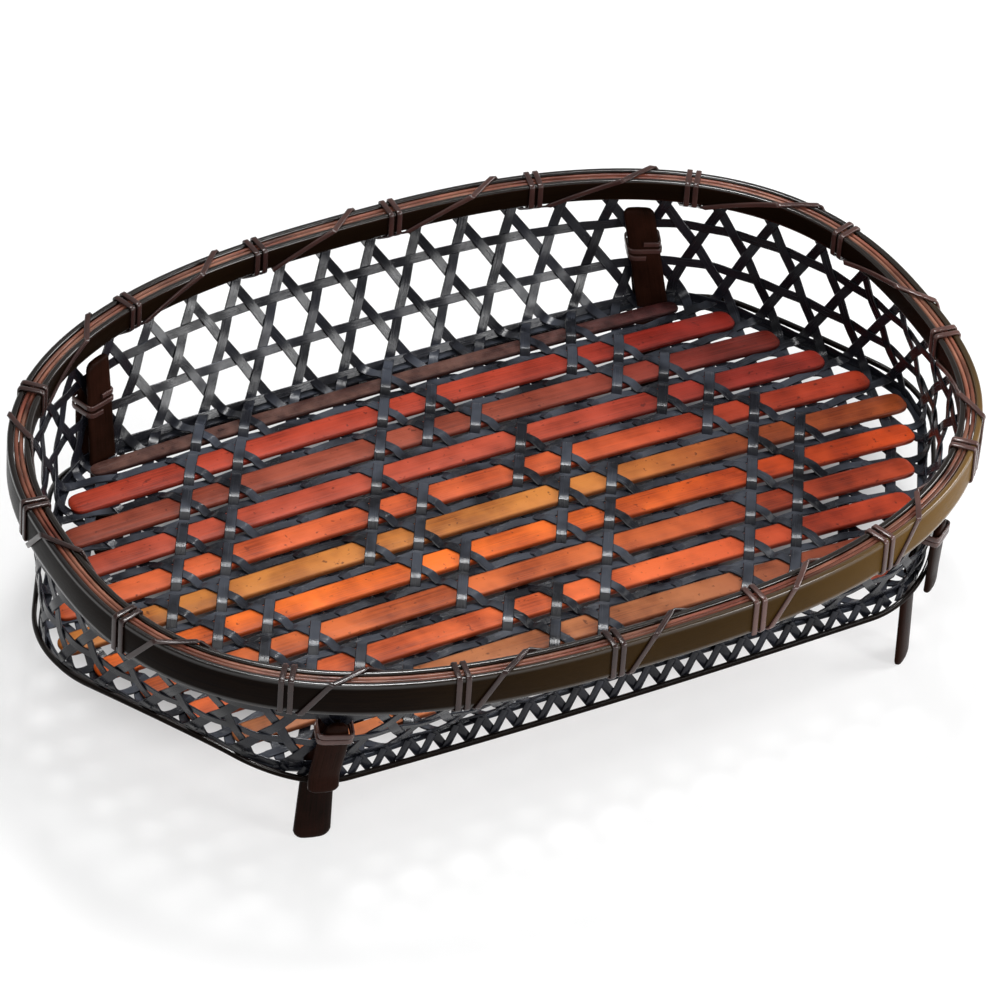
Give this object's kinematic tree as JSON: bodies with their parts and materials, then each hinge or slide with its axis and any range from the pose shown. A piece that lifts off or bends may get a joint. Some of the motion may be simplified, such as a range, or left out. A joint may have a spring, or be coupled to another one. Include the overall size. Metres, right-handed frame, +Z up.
{
  "type": "serving basket",
  "caption": "Low oval serving basket in open hexagonal weave, with slats across a crowned floor, a lashed double rim and four short strip legs.",
  "frame": {"origin": "under the middle of the basket, on the plane that its feet stand on", "axes": "+X along the floor slats, the basket's length; +Y to the back; +Z up"},
  "size_m": [0.3832, 0.2762, 0.098],
  "materials": {
    "weave": "smoked and lacquered split strip, satin",
    "weave_top": "smoked and lacquered split strip, satin with bright highlights",
    "slat_brown": "stained split strip, satin, lengthwise grain",
    "slat_red": "stained split strip, satin, lengthwise grain",
    "slat_orange": "stained split strip, satin, lengthwise grain",
    "slat_ochre": "stained split strip, satin, lengthwise grain",
    "hoop": "smoked strip, semi-gloss, olive brown on its outer face",
    "filler": "bare reddish strip, satin",
    "lashing": "dark cane, semi-gloss",
    "leg": "smoked thick strip, satin, reddish cut edges"
  },
  "bodies": {
    "root": {"wall_weave": "weave", "floor_weave": "weave", "floor_crossings_center": "weave_top", "floor_crossings_left": "weave_top", "floor_crossings_right": "weave_top", "slat_01": "slat_brown", "slat_02": "slat_red", "slat_03": "slat_brown", "slat_04": "slat_red", "slat_05": "slat_red", "slat_06": "slat_ochre", "slat_07": "slat_orange", "slat_08": "slat_orange", "slat_09": "slat_red", "slat_10": "slat_ochre", "slat_11": "slat_orange", "rim_outer_hoop": "hoop", "rim_inner_hoop": "hoop", "rim_filler": "filler", "rim_lashing_back_right": "lashing", "rim_lashing_back_left": "lashing", "rim_lashing_front_left": "lashing", "rim_lashing_front_right": "lashing", "base_hoop": "hoop", "leg_back_right_inner": "leg", "leg_back_right_outer": "leg", "leg_back_right_binding": "lashing", "leg_back_left_inner": "leg", "leg_back_left_outer": "leg", "leg_back_left_binding": "lashing", "leg_front_left_inner": "leg", "leg_front_left_outer": "leg", "leg_front_left_binding": "lashing", "leg_front_right_inner": "leg", "leg_front_right_outer": "leg", "leg_front_right_binding": "lashing"}
  },
  "joints": []
}
